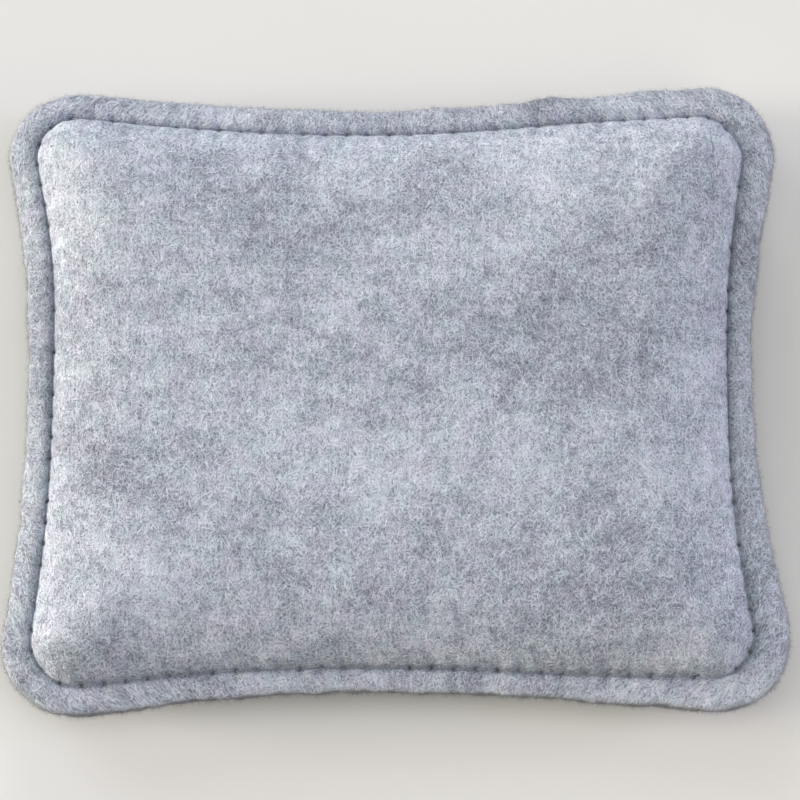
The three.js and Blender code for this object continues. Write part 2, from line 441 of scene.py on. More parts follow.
RIM_DROOP = 0.9 * MM
LEFT_DROOP = 0.9 * MM  # more of it on the left side
RIM_LIFT = 0.8 * MM
RIM_LIFT_WAVES = 26
RIM_LIFT_SEED = 3
EDGE_WANDER = 0.55 * MM
EDGE_WANDER_WAVES = 60
EDGE_WANDER_SEED = 5
EDGE_FRAY = 0.55 * MM
EDGE_FRAY_WAVES = 240


def waved(points, seed):
    """The rim waves up and down a little round the pad, and its frayed cut edge wanders in and out."""
    along, across = locate(points)
    share = np.clip(across / np.linalg.norm(seam.rim(along), axis=1), 0, 1)
    points = points.copy()
    droop = RIM_DROOP + LEFT_DROOP * np.maximum(-seam.out(along)[:, 0], 0)
    lift = round_noise(along, RIM_LIFT_WAVES, RIM_LIFT_SEED)
    points[:, 2] += RIM_LIFT * share * lift - droop * share**2
    wander = EDGE_WANDER * share * round_noise(along, EDGE_WANDER_WAVES, EDGE_WANDER_SEED)
    fray = EDGE_FRAY * share**4 * round_noise(along, EDGE_FRAY_WAVES, seed)
    points[:, :2] += (wander + fray)[:, None] * seam.out(along)
    return points


HOLE_DEPTH = 1.0 * MM
HOLE_RADIUS = 0.65 * MM
HOLE_OPENNESS = (0.3, 1.0)  # of each in turn, at random
# The needle holes also get painted shade in the felt's colour, for the shadow in them
HOLE_SHADE_WIDTH = 0.5 * MM  # half of it, across the seam
BED_DEPTH = 0.35 * MM
BED_RADIUS = 0.5 * MM
PUCKER = 0.24 * MM
PUCKER_CHANGE = 0.9  # from stitch to stitch
PUCKER_WAVES = 70
PUCKER_REACH = 3.2 * MM
GRAIN_LUMP = 0.22 * MM
GRAIN_LUMP_SIZE = 11 * MM
GRAIN_LUMP_INSET = 10 * MM  # where the lumps have their full height
FELT_LUMP = 0.1 * MM
FELT_LUMP_SIZE = 2.2 * MM


def detailed(points, normals, seed):
    """Adds needle holes, thread beds, puckers and unevenness. Also gives each point's share of the painted
    shade that darkens the needle holes, as they lie in shadow.
    """
    along, across = locate(points)
    phase = along / stitch_length % 1
    to_hole = (phase - 0.5) * stitch_length
    near = np.exp(-((across / BED_RADIUS) ** 2))
    hole = np.exp(-((to_hole / HOLE_RADIUS) ** 2) - (across / HOLE_RADIUS) ** 2)
    reach = np.abs(across) / PUCKER_REACH
    pucker = np.cos(2 * math.pi * phase) * reach * np.exp(1 - reach) * np.exp(-(reach**2))
    low = points[:, 2] < FELT_THICKNESS * 2
    drawn = np.random.default_rng(SEED).uniform(*HOLE_OPENNESS, STITCHES)
    drawn = drawn[np.minimum(along / stitch_length, STITCHES - 1).astype(int)]
    hole *= drawn
    # Painted shade in each needle hole, for the shadow in it
    hole_shade = np.where(low, drawn * np.exp(-((to_hole / HOLE_RADIUS) ** 2) - (across / HOLE_SHADE_WIDTH) ** 2), 0)
    drop = np.where(low, HOLE_DEPTH * hole + BED_DEPTH * near, 0)
    rise = PUCKER * pucker * (1 + PUCKER_CHANGE * round_noise(along, PUCKER_WAVES, seed))
    rise += GRAIN_LUMP * lumps(points, GRAIN_LUMP_SIZE, seed) * np.clip(-across / GRAIN_LUMP_INSET, 0, 1)
    rise += FELT_LUMP * lumps(points, FELT_LUMP_SIZE, seed + 1)
    moved = points + normals * rise[:, None]
    moved[:, 2] -= drop
    return moved, hole_shade


# Felt sheets

FLAT_SPAN = 260 * MM  # side of the square that the texture map covers
INNER_RIM = (0.95, 0.6, 0.3, 0.0)  # shares of the way to the cut edge
INNER_WAIST = (1.6 * MM, 3.0 * MM)  # inside the stitch line
INNER_FLANK = 2  # the flank's first rings are too close to the seam to have an inner face
CUT_SHARES = (1.0, 1.0, 1.0, 0.75, 0.12)  # how much of the cut edge shows on the outermost rings


def normals_of(points, faces):
    """Normals at the points."""
    a, b, c, d = (points[faces[:, i]] for i in range(4))
    across = np.cross(c - a, d - b)
    normals = np.zeros_like(points)
    for i in range(4):
        np.add.at(normals, faces[:, i], across)
    return normals / np.linalg.norm(normals, axis=1, keepdims=True)


def border_loop(points, faces):
    """Points of the open border in order round the pad, from point 0."""
    edges = np.concatenate([faces[:, [i, (i + 1) % 4]] for i in range(4)])
    edges.sort(axis=1)
    unique, count = np.unique(edges, axis=0, return_counts=True)
    border = np.unique(unique[count == 1])
    angle = np.arctan2(points[border, 1], points[border, 0])
    loop = border[np.argsort(angle)]
    return np.roll(loop, -np.flatnonzero(loop == 0)[0])


def flat_places(cage, points):
    """Where the cage's points were on the flat sheet, and how much of the cut edge each shows."""
    flat = np.zeros_like(points)
    last = cage.rings - 1
    flat[cage.ring(last).start :, :2] = points[cage.ring(last).start :, :2]
    way = seam.point(cage.places) - cage.border
    way /= np.linalg.norm(way, axis=1, keepdims=True)
    length = np.zeros(cage.round)
    for r in reversed(range(last)):
        length += np.linalg.norm(points[cage.ring(r)] - points[cage.ring(r + 1)], axis=1)
        flat[cage.ring(r), :2] = points[cage.ring(last), :2] + way * length[:, None]
        flat[cage.ring(r), 2] = CUT_SHARES[r] if r < len(CUT_SHARES) else 0.0
    return flat


def inner_cage(cage, points, depth, rim, waist):
    """The face of a sheet, or of the filling, that lies depth inside the cage's face."""
    normals = normals_of(points, np.array(cage.faces))
    moved = points - normals * depth
    inside = Cage(len(rim) + len(waist) + len(FLANK_SHARES) - INNER_FLANK)
    stitch, out, to_edge = seam.point(cage.places), seam.out(cage.places), seam.rim(cage.places)
    level = [stitch + share * to_edge for share in rim] + [stitch - d * out for d in waist]
    level = [np.column_stack((flat, np.full(cage.round, SHEET_GAP))) for flat in level]
    kept = moved[(len(RIM_RINGS) + INNER_FLANK) * cage.round :]
    inside.points = np.concatenate(level + [kept])
    return inside


def joined(outer, inner):
    """Faces between an outer loop and an inner one with half as many points, which face down."""
    faces = []
    count = len(inner)
    for k in range(count):
        first, middle, last = outer[2 * k], outer[2 * k + 1], outer[(2 * k + 2) % len(outer)]
        near, ahead = inner[k], inner[(k + 1) % count]
        faces += [(first, near, middle), (middle, ahead, last), (middle, near, ahead)]
    return faces


def swollen(height, shoulder):
    """A sheet's cage with its stuffed shape, at its real height."""
    cage = outer_cage(height, shoulder)
    points = cage.points
    points = inflated(cage)
    stuffed = slice(cage.pinned, None)
    rise = points[stuffed, 2] - SEAM_THICKNESS
    points[stuffed, 2] = SEAM_THICKNESS + rise * (height - SEAM_THICKNESS) / rise.max()
    return cage, points


def felt_sheet(name, cage, points, side, seed):
    """One closed sheet of felt and the faces of its outer side. side is 1 on top and -1 underneath."""
    faces = np.array(cage.faces)
    flat = flat_places(cage, points)
    fine, fine_faces = subdivided(points, faces, 2)
    fine_flat, _ = subdivided(flat, faces, 2)
    fine, hole_shades = detailed(fine, normals_of(fine, fine_faces), seed)
    inside = inner_cage(cage, points, FELT_THICKNESS, INNER_RIM, INNER_WAIST)
    inner, inner_faces = subdivided(inside.points, inside.faces, 1)
    outer_loop = border_loop(fine, fine_faces)
    inner_loop = border_loop(inner, inner_faces) + len(fine)
    all_points = waved(np.concatenate((fine, inner)) * (1, 1, side), seed)
    all_flat = np.concatenate((fine_flat, inner * (1, 1, 0)))
    all_faces = fine_faces.tolist()
    all_faces += (inner_faces[:, ::-1] + len(fine)).tolist()
    all_faces += joined(outer_loop, inner_loop)
    if side < 0:
        all_faces = [face[::-1] for face in all_faces]
    all_points[:, 2] = np.maximum(all_points[:, 2] + seam_plane, 0)
    mesh = new_mesh(name, all_points, all_faces)
    mesh.shade_smooth()
    layer = mesh.uv_layers.new(name="flat")
    corners = np.empty(len(mesh.loops), dtype=int)
    mesh.loops.foreach_get("vertex_index", corners)
    layer.data.foreach_set("uv", (all_flat[corners, :2] / FLAT_SPAN + 0.5).ravel())
    cut = mesh.attributes.new("cut", "FLOAT", "POINT")
    cut.data.foreach_set("value", np.clip(all_flat[:, 2], 0, 1))
    # Painted shade of the needle holes, for the shadow in them
    hole_shade = mesh.attributes.new("hole_shade", "FLOAT", "POINT")
    hole_shade.data.foreach_set("value", np.concatenate((hole_shades, np.zeros(len(inner)))))
    return new_object(name, mesh), fine_faces


top_cage, top_points = swollen(crown_height, CROWN_SHOULDER)
bottom_cage, bottom_points = swollen(belly_depth, BELLY_SHOULDER)
top_felt, top_faces = felt_sheet("top_felt_sheet", top_cage, top_points, 1, TOP_SEED)
bottom_felt, bottom_faces = felt_sheet("bottom_felt_sheet", bottom_cage, bottom_points, -1, BOTTOM_SEED)


# Nap: single fibres that lie on the felt or stand out of it a little

NAP_COUNT = 12200
NAP_LENGTH = (0.8 * MM, 2.6 * MM)
NAP_RADIUS = (0.02 * MM, 0.04 * MM)
NAP_ARCH = (0.03 * MM, 0.25 * MM)
NAP_BEND = 0.35
NAP_SINK = 0.3  # share of its radius that a fibre lies in the felt
NAP_TAPER = 0.5
NAP_SIDES = 3
NAP_STEPS = 4
FRINGE = 38  # how many times as thick the nap is on the cut edge
FRINGE_STAND = 1.6
FRINGE_SHORTER = 0.35
FRINGE_BROWN = 0.65
SEAM_NAP = 6  # how many times more of it lies across the stitches
SEAM_NAP_REACH = 1.3 * MM


def nap(name, sheet, faces, side, seed):
    """Fibres on a sheet's outer face, each a closed pointed strand."""
    rng = np.random.default_rng(seed)
    count = NAP_COUNT
    points = points_of(sheet.data)
    corners = points[faces]
    area = np.linalg.norm(np.cross(corners[:, 2] - corners[:, 0], corners[:, 3] - corners[:, 1]), axis=1)
    cut = np.empty(len(points))
    sheet.data.attributes["cut"].data.foreach_get("value", cut)
    edge = cut[faces].mean(axis=1)
    across = locate(corners.mean(axis=1))[1]
    chance = area * (1 + FRINGE * edge + SEAM_NAP * np.exp(-((across / SEAM_NAP_REACH) ** 2)))
    picked = rng.choice(len(faces), count, p=chance / chance.sum())
    chosen = corners[picked]
    normal = side * np.cross(chosen[:, 2] - chosen[:, 0], chosen[:, 3] - chosen[:, 1])
    normal /= np.linalg.norm(normal, axis=1, keepdims=True)
    u, v = rng.random((2, count, 1))
    near = (1 - u) * chosen[:, 0] + u * chosen[:, 1]
    far = (1 - u) * chosen[:, 3] + u * chosen[:, 2]
    start = (1 - v) * near + v * far
    way = np.cross(normal, rng.normal(size=(count, 3)))
    way /= np.linalg.norm(way, axis=1, keepdims=True)
    way += normal * (edge[picked] * rng.uniform(0, FRINGE_STAND, count))[:, None]
    way /= np.linalg.norm(way, axis=1, keepdims=True)
    aside = np.cross(normal, way)
    aside /= np.linalg.norm(aside, axis=1, keepdims=True)
    length = rng.uniform(*NAP_LENGTH, count) * (1 - FRINGE_SHORTER * edge[picked])
    arch = rng.uniform(*NAP_ARCH, count) * rng.random(count) ** 2
    bend = NAP_BEND * rng.normal(size=count) * length
    free = rng.random(count) ** 4
    radius = rng.uniform(*NAP_RADIUS, count)
    shares = np.linspace(0, 1, NAP_STEPS)
    spine = np.stack([
        start
        + way * (length * s)[:, None]
        + aside * (bend * s * s)[:, None]
        + normal * (4 * arch * s * (1 - s) + free * arch * s - NAP_SINK * radius)[:, None]
        for s in shares
    ], axis=1)
    turns = 2 * math.pi * np.arange(NAP_SIDES) / NAP_SIDES
    ring = np.cos(turns)[:, None] * normal[:, None, :] + np.sin(turns)[:, None] * aside[:, None, :]
    thick = radius[:, None] * (1 - NAP_TAPER * shares[:-1])
    body = spine[:, :-1, None, :] + thick[:, :, None, None] * ring[:, None, :, :]
    strand = np.concatenate((body.reshape(count, -1, 3), spine[:, -1:, :]), axis=1)
    per = strand.shape[1]
    local = [tuple(reversed(range(NAP_SIDES)))]
    for step in range(NAP_STEPS - 2):
        for k in range(NAP_SIDES):
            a, b = step * NAP_SIDES + k, step * NAP_SIDES + (k + 1) % NAP_SIDES
            local += [(a, b, b + NAP_SIDES), (a, b + NAP_SIDES, a + NAP_SIDES)]
    base = (NAP_STEPS - 2) * NAP_SIDES
    local += [(base + k, base + (k + 1) % NAP_SIDES, per - 1) for k in range(NAP_SIDES)]
    all_faces = (np.arange(count)[:, None, None] * per + np.array(local)).reshape(-1, 3)
    strand[:, :, 2] = np.maximum(strand[:, :, 2], 0)
    mesh = new_mesh(name, strand.reshape(-1, 3), all_faces)
    mesh.shade_smooth()
    shade = mesh.attributes.new("shade", "FLOAT", "POINT")
    shade.data.foreach_set("value", np.repeat(rng.random(count) * (1 - FRINGE_BROWN * edge[picked]), per))
    return new_object(name, mesh)


top_nap = nap("top_felt_nap", top_felt, top_faces, 1, SEED)
bottom_nap = nap("bottom_felt_nap", bottom_felt, bottom_faces, -1, SEED + 1)


# Threads

THREAD_RADIUS = 0.27 * MM
THREAD_LIE = SEAM_THICKNESS - 0.08 * MM
THREAD_TWIST = 1.5 * MM  # length in which a ply goes a third of the way round
PLIES = 3
PLY_RELIEF = 0.16
THREAD_SIDES = 12
LEG_ALONG = 0.45 * MM
LEG_ASIDE = 0.42 * MM
CLASP = 0.35 * MM
LEG_START = 1.35  # of a leg's reach along the seam, where the thread turns down into a hole
LEG_DROP = 0.7  # of the clasp, how high the thread still is a leg's reach from the middle
LEG_NEAR = 0.45  # of a leg's reach, where the thread turns round the other one
STITCH_ARCH = 0.16 * MM  # how much higher a stitch is in its middle
THREAD_TAIL = 0.45  # of a stitch, before the first hole
THREAD_SHORT = 0.1  # of a stitch, by which the last one is shorter
STITCH_STEPS = 4  # along each span of a stitch's path


def spline(points, steps):
    """A smooth curve through the points."""
    ends = np.concatenate((2 * points[:1] - points[1:2], points, 2 * points[-1:] - points[-2:-1]))
    a, b, c, d = ends[:-3], ends[1:-2], ends[2:-1], ends[3:]
    t = (np.arange(steps) / steps)[None, :, None]
    a, b, c, d = (x[:, None, :] for x in (a, b, c, d))
    curve = 0.5 * (2 * b + (c - a) * t + (2 * a - 5 * b + 4 * c - d) * t**2 + (3 * b - a - 3 * c + d) * t**3)
    return np.concatenate((curve.reshape(-1, 3), points[-1:]))


def thread_run(name, first, count, side):
    """One unbroken thread through a run of needle holes, clasped with the other thread inside each hole."""
    half = np.array([
        (-LEG_START * LEG_ALONG, 0, THREAD_LIE),
        (-LEG_ALONG, LEG_ASIDE, LEG_DROP * CLASP),
        (-LEG_NEAR * LEG_ALONG, LEG_NEAR * LEG_ASIDE, -CLASP),
    ])
    path = np.concatenate((half, half[::-1] * (-1, -1, 1)))
    middle = np.array([(stitch_length / 2, 0, THREAD_LIE + STITCH_ARCH)])
    path = np.concatenate((path, middle))
    holes = (first + np.arange(count) + 0.5) * stitch_length
    run = (path[None] + np.column_stack((holes, np.zeros((count, 2))))[:, None]).reshape(-1, 3)
    tail = np.array([(holes[0] - THREAD_TAIL * stitch_length, 0, THREAD_LIE)])
    run = np.concatenate((tail, run[:-1], [run[-1] - (THREAD_SHORT * stitch_length, 0, 0)]))
    run = spline(run, STITCH_STEPS)
    stitch, out = seam.point(run[:, 0]), seam.out(run[:, 0])
    centre = np.column_stack((stitch + out * run[:, 1:2] * side, side * run[:, 2] + seam_plane))
    tangent = np.gradient(centre, axis=0)
    tangent /= np.linalg.norm(tangent, axis=1, keepdims=True)
    sideways = np.column_stack((out, np.zeros(len(out))))
    sideways -= tangent * (sideways * tangent).sum(axis=1, keepdims=True)
    sideways /= np.linalg.norm(sideways, axis=1, keepdims=True)
    upright = np.cross(tangent, sideways)
    passed = np.concatenate(([0], np.cumsum(np.linalg.norm(np.diff(centre, axis=0), axis=1))))
    turn = 2 * math.pi * np.arange(THREAD_SIDES) / THREAD_SIDES
    lay = 2 * math.pi * passed / THREAD_TWIST / PLIES
    ply = np.abs(np.cos(PLIES * (turn - lay[:, None]) / 2))
    thick = THREAD_RADIUS * (1 - PLY_RELIEF + PLY_RELIEF * ply * 2)
    rings = (
        centre[:, None]
        + thick[:, :, None] * np.cos(turn)[:, None] * sideways[:, None]
        + thick[:, :, None] * np.sin(turn)[:, None] * upright[:, None]
    )
    n = THREAD_SIDES
    faces = [
        (r * n + k, r * n + (k + 1) % n, (r + 1) * n + (k + 1) % n, (r + 1) * n + k)
        for r in range(len(centre) - 1)
        for k in range(n)
    ]
    faces += [tuple(range(n - 1, -1, -1)), tuple(range((len(centre) - 1) * n, len(centre) * n))]
    mesh = new_mesh(name, rings.reshape(-1, 3), faces)
    mesh.shade_smooth()
    return new_object(name, mesh)


back_middle = (seam.corners[1] + seam.corners[2]) / 2
hole_places = (np.arange(STITCHES) + 0.5) * stitch_length
closing_first = int(np.argmin(np.abs(hole_places - back_middle))) - CLOSING_STITCHES // 2
main_first = closing_first + CLOSING_STITCHES
main_count = STITCHES - CLOSING_STITCHES
threads = {
    "main_seam_needle_thread": thread_run("main_needle_stitches", main_first, main_count, 1),
    "main_seam_bobbin_thread": thread_run("main_bobbin_stitches", main_first, main_count, -1),
    "closing_seam_needle_thread": thread_run("closing_needle_stitches", closing_first, CLOSING_STITCHES, 1),
    "closing_seam_bobbin_thread": thread_run("closing_bobbin_stitches", closing_first, CLOSING_STITCHES, -1),
}


# Filling

FILL_GAP = 0.5 * MM
GRAIN_SIZE = 3.2 * MM
GRAIN_RELIEF = 0.9 * MM


def filling(name):
    """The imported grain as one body, with the grains showing in its surface."""
    depth = FELT_THICKNESS + FILL_GAP
    upper = inner_cage(top_cage, top_points, depth, (), (depth,))
    lower = inner_cage(bottom_cage, bottom_points, depth, (), (depth,))
    ring = upper.round
    over = upper.points
    under = lower.points * (1, 1, -1)
    over[:ring, 2] = 0
    points = np.concatenate((over, under[ring:]))
    shift = np.concatenate((np.arange(ring), np.arange(ring, len(under)) + len(over) - ring))
    faces = list(upper.faces) + shift[np.array(lower.faces)][:, ::-1].tolist()
    fine, fine_faces = subdivided(points, faces, 1)
    normals = normals_of(fine, fine_faces)
    relief = np.array([noise.voronoi(Vector(p) / GRAIN_SIZE)[0][0] for p in fine])
    fine -= normals * (GRAIN_RELIEF * np.clip(relief, 0, 1))[:, None]
    fine[:, 2] += seam_plane
    mesh = new_mesh(name, fine, fine_faces.tolist())
    mesh.shade_smooth()
    return new_object(name, mesh)


grain_body = filling("grain_fill")


# Materials

class Nodes:
    """A material's nodes, with a short call for each kind used here."""

    def __init__(self, name):
        self.material = bpy.data.materials.new(name)
        self.material.use_nodes = True
        self.tree = self.material.node_tree
        self.shader = self.tree.nodes["Principled BSDF"]

    def put(self, socket, value):
        """Links another node's output to the socket, or sets its value."""
        if isinstance(value, bpy.types.NodeSocket):
            self.tree.links.new(value, socket)
        else:
            socket.default_value = value

    def add(self, kind, inputs=None, **settings):
        made = self.tree.nodes.new("ShaderNode" + kind)
        for key, value in settings.items():
            setattr(made, key, value)
        for key, value in (inputs or {}).items():
            self.put(made.inputs[key], value)
        return made

    def math(self, operation, a, b=0.0):
        """A sum, product or the like of numbers or sockets."""
        return self.add("Math", {0: a, 1: b}, operation=operation).outputs[0]

    def vector(self, operation, a, b=(0, 0, 0)):
        return self.add("VectorMath", {0: a, 1: b}, operation=operation).outputs[0]

    def scaled(self, vector, factor):
        return self.add("VectorMath", {0: vector, "Scale": factor}, operation="SCALE").outputs[0]

    def noise(self, vector, scale, detail=2.0, roughness=0.5, dimensions="2D"):
        inputs = {"Vector": vector, "Scale": scale, "Detail": detail, "Roughness": roughness}
        return self.add("TexNoise", inputs, noise_dimensions=dimensions)

    def remap(self, value, low, high, new_low=0.0, new_high=1.0, smooth=False):
        inputs = {"Value": value, "From Min": low, "From Max": high, "To Min": new_low, "To Max": new_high}
        kind = "SMOOTHSTEP" if smooth else "LINEAR"
        return self.add("MapRange", inputs, interpolation_type=kind).outputs[0]

    def blend(self, share, a, b, how="MIX"):
        made = self.add("Mix", data_type="RGBA", blend_type=how)
        for key, value in zip((0, 6, 7), (share, a, b)):
            self.put(made.inputs[key], value)
        return made.outputs[2]

    def ramp(self, value, stops):
        made = self.add("ValToRGB", {0: value})
        elements = made.color_ramp.elements
        while len(elements) < len(stops):
            elements.new(1.0)
        for element, (place, colour) in zip(elements, stops):
            element.position = place
            element.color = (*colour, 1)
        return made.outputs[0]

    def bump(self, height, distance, strength=1.0):
        return self.add("Bump", {"Height": height, "Distance": distance, "Strength": strength}).outputs[0]


# Colours of wool, from the darkest fibres to the lightest
WOOL_DARK = (0.115, 0.12, 0.15)
WOOL_DEEP = (0.285, 0.305, 0.365)
WOOL_MID = (0.485, 0.525, 0.61)
WOOL_PALE = (0.67, 0.715, 0.815)
WOOL_WHITE = (0.83, 0.865, 0.93)
WOOL_EDGE = (0.27, 0.25, 0.222)
# Painted shade of the needle holes, which lie in shadow
HOLE_SHADE_COLOUR = (0.025, 0.027, 0.035)
LAVENDER = (1.024, 0.989, 1.007)
AQUA = (0.976, 1.012, 0.993)

FIBRE_LAYERS = (
    # cell in mm, half width in mm, strength
    (1.1, 0.18, 0.55),
    (1.6, 0.20, 0.5),
    (0.95, 0.16, 0.6),
    (1.35, 0.18, 0.55),
    (1.9, 0.21, 0.5),
    (1.0, 0.16, 0.6),
    (1.25, 0.17, 0.6),
    (1.5, 0.18, 0.55),
    (2.7, 0.12, 0.5),
    (3.3, 0.13, 0.5),
)
DARK_FIBRES = (1.7, 0.14, 0.55)
DARK_SHARE = 0.5
FIBRE_LEAN = 0.15  # more fibres lie along the short side
FIBRE_CORE = 0.1  # share of a fibre's width with its full colour
FIBRE_RELIEF = 0.3
FIBRE_STOPS = ((0.0, WOOL_DEEP), (0.25, WOOL_MID), (0.65, WOOL_PALE), (1.0, WOOL_WHITE))
LAYER_SHIFT = (13.7, 7.9)
CURL_SCALE = 0.5
CURL = 0.8  # mm that fibres bend aside

# Uneven tone of the wool: broad clouds, mottle, tufts of a few millimetres and fine grain, per millimetre
CLOUD_STRETCH = (0.8, 1.2, 1.0)
CLOUD_SHIFT = (-15.0, 312.0, 0.0)
CLOUD_SCALE = 0.028
CLOUD_SHARE = 0.4
MOTTLE_SCALE = 0.11
MOTTLE_SHARE = 0.45
TUFT_SCALE = 0.36
TUFT_SHARE = 0.42
TUFT_LEVEL = 0.3636  # where a tuft leaves the tone as it is
FINE_SCALE = 1.3
FINE_SHARE = 0.4
FINE_RELIEF = 0.5
TONE_RANGE = (0.3, 0.7)
LIGHTER = 0.36  # how much lighter or darker the fibres are at the ends of that range
UNDER_STOPS = ((0.32, WOOL_DARK), (0.5, WOOL_DEEP), (0.68, WOOL_MID))
SPECK_SCALE = 0.2
SPECK_RANGE = (0.07, 0.03)
SPECK_SHARE = 0.6
TINT_SCALE = 0.15
TINT_STOPS = ((0.36, LAVENDER), (0.64, AQUA))
FRAY_SCALE = 0.9
FRAY_RANGE = (0.3, 0.7)
FRAY_SHARES = (0.35, 1.0)
HOLE_SHADE_SHARE = 0.95  # how far a needle hole takes its painted shade, which stands for the shadow in it
FELT_BUMP = 0.18 * MM
FELT_BUMP_STRENGTH = 0.9


def fibre_layer(n, place, number, cell, half_width):
    """Short fibres in random directions, one in each cell: where they are, and a random shade for each."""
    shift = (LAYER_SHIFT[0] * number, LAYER_SHIFT[1] * number, 0)
    inputs = {"Vector": place, "Location": shift, "Scale": (1 / cell, 1 / cell, 1)}
    moved = n.add("Mapping", inputs).outputs[0]
    cells = n.add("TexVoronoi", {"Vector": moved, "Scale": 1.0}, voronoi_dimensions="2D")
    apart = n.vector("SUBTRACT", moved, cells.outputs["Position"])
    chance = n.add("SeparateColor", {0: cells.outputs["Color"]})
    turn = n.math("MULTIPLY", chance.outputs[0], math.pi)
    lean = n.math("MULTIPLY", n.math("SINE", n.math("MULTIPLY", turn, 2.0)), FIBRE_LEAN)
    turn = n.math("SUBTRACT", turn, lean)
    across_way = n.add("CombineXYZ", {0: n.math("COSINE", turn), 1: n.math("SINE", turn)}).outputs[0]
    dot = n.add("VectorMath", {0: apart, 1: across_way}, operation="DOT_PRODUCT").outputs["Value"]
    aside = n.math("ABSOLUTE", dot)
    mask = n.remap(aside, half_width / cell, FIBRE_CORE * half_width / cell, smooth=True)
    return mask, chance.outputs[1]


def felt_material():
    n = Nodes("marled_felt")
    flat = n.add("UVMap", uv_map="flat").outputs[0]
    place = n.scaled(flat, FLAT_SPAN / MM)  # millimetres on the flat sheet
    curl = n.noise(place, CURL_SCALE).outputs["Color"]
    curl = n.scaled(n.vector("SUBTRACT", curl, (0.5, 0.5, 0.5)), CURL)
    curled = n.vector("ADD", place, curl)

    stretch = {0: place, 1: CLOUD_STRETCH, 2: CLOUD_SHIFT}
    wide = n.add("VectorMath", stretch, operation="MULTIPLY_ADD").outputs[0]
    clouds = n.noise(wide, CLOUD_SCALE).outputs[0]
    mottle = n.noise(wide, MOTTLE_SCALE, 3.0, 0.6).outputs[0]
    fine = n.noise(place, FINE_SCALE, 3.0, 0.7).outputs[0]
    tufts = n.noise(place, TUFT_SCALE, 2.0, 0.6).outputs[0]
    tone = n.math("ADD", n.math("MULTIPLY", clouds, CLOUD_SHARE), n.math("MULTIPLY", mottle, MOTTLE_SHARE))
    tone = n.math("ADD", tone, n.math("MULTIPLY", n.math("SUBTRACT", tufts, TUFT_LEVEL), TUFT_SHARE))
    lighter = n.remap(tone, *TONE_RANGE, -LIGHTER, LIGHTER)
    under = n.math("ADD", n.math("MULTIPLY", fine, FINE_SHARE), n.math("MULTIPLY", tone, 1 - FINE_SHARE))
    colour = n.ramp(under, UNDER_STOPS)
    relief = n.math("MULTIPLY", fine, FINE_RELIEF)

    for number, (cell, half_width, strength) in enumerate(FIBRE_LAYERS, start=1):
        mask, shade = fibre_layer(n, curled, number, cell, half_width)
        fibre = n.ramp(n.math("ADD", shade, lighter), FIBRE_STOPS)
        colour = n.blend(n.math("MULTIPLY", mask, strength), colour, fibre)
        relief = n.math("ADD", relief, n.math("MULTIPLY", mask, FIBRE_RELIEF))
    cell, half_width, strength = DARK_FIBRES
    mask, shade = fibre_layer(n, curled, len(FIBRE_LAYERS) + 1, cell, half_width)
    kept = n.math("MULTIPLY", mask, n.math("LESS_THAN", shade, DARK_SHARE))
    colour = n.blend(n.math("MULTIPLY", kept, strength), colour, (*WOOL_DARK, 1))

    specks = n.add("TexVoronoi", {"Vector": place, "Scale": SPECK_SCALE}, voronoi_dimensions="2D")
    speck = n.remap(specks.outputs["Distance"], *SPECK_RANGE, smooth=True)
    colour = n.blend(n.math("MULTIPLY", speck, SPECK_SHARE), colour, (*WOOL_DARK, 1))
    tint = n.ramp(n.noise(place, TINT_SCALE).outputs[0], TINT_STOPS)
    colour = n.blend(1.0, colour, tint, "MULTIPLY")
    cut = n.add("Attribute", attribute_name="cut").outputs["Fac"]
    frayed = n.remap(n.noise(place, FRAY_SCALE, 3.0, 0.7).outputs[0], *FRAY_RANGE, *FRAY_SHARES)
    colour = n.blend(n.math("MULTIPLY", cut, frayed), colour, (*WOOL_EDGE, 1))
    # Painted shade in the needle holes, for the shadow in them
    hole_shade = n.add("Attribute", attribute_name="hole_shade").outputs["Fac"]
    colour = n.blend(n.math("MULTIPLY", hole_shade, HOLE_SHADE_SHARE), colour, (*HOLE_SHADE_COLOUR, 1))
    n.put(n.shader.inputs["Base Color"], colour)
    n.put(n.shader.inputs["Normal"], n.bump(relief, FELT_BUMP, FELT_BUMP_STRENGTH))
    n.shader.inputs["Roughness"].default_value = 0.95
    n.shader.inputs["Specular IOR Level"].default_value = 0.1
    return n.material


NAP_STOPS = ((0.0, WOOL_EDGE), (0.15, WOOL_DEEP), (0.45, WOOL_MID), (0.75, WOOL_PALE), (1.0, WOOL_WHITE))


def nap_material():
    n = Nodes("wool_fibre")
    shade = n.add("Attribute", attribute_name="shade").outputs["Fac"]
    n.put(n.shader.inputs["Base Color"], n.ramp(shade, NAP_STOPS))
    n.shader.inputs["Roughness"].default_value = 0.8
    n.shader.inputs["Specular IOR Level"].default_value = 0.2
    return n.material


THREAD_FUZZ_SCALE = 3.0  # per millimetre
THREAD_STOPS = ((0.3, WOOL_DARK), (0.8, WOOL_MID))
THREAD_BUMP = 0.05 * MM


def thread_material():
    n = Nodes("sewing_thread")
    place = n.add("TexCoord").outputs["Object"]
    fuzz = n.noise(n.scaled(place, 1 / MM), THREAD_FUZZ_SCALE, 3.0, 0.6, "3D").outputs[0]
    n.put(n.shader.inputs["Base Color"], n.ramp(fuzz, THREAD_STOPS))
    n.put(n.shader.inputs["Normal"], n.bump(fuzz, THREAD_BUMP, 0.6))
    n.shader.inputs["Roughness"].default_value = 0.6
    return n.material


HUSK_STOPS = ((0.0, (0.42, 0.31, 0.17)), (0.5, (0.62, 0.49, 0.3)), (1.0, (0.78, 0.68, 0.48)))
# Painted shade in the grooves between the grains
HUSK_GAP_SHADE = (0.2, 0.14, 0.08)
HUSK_GAP_SHADE_RANGE = (0.35, 0.8)
HUSK_BUMP = 0.4 * MM


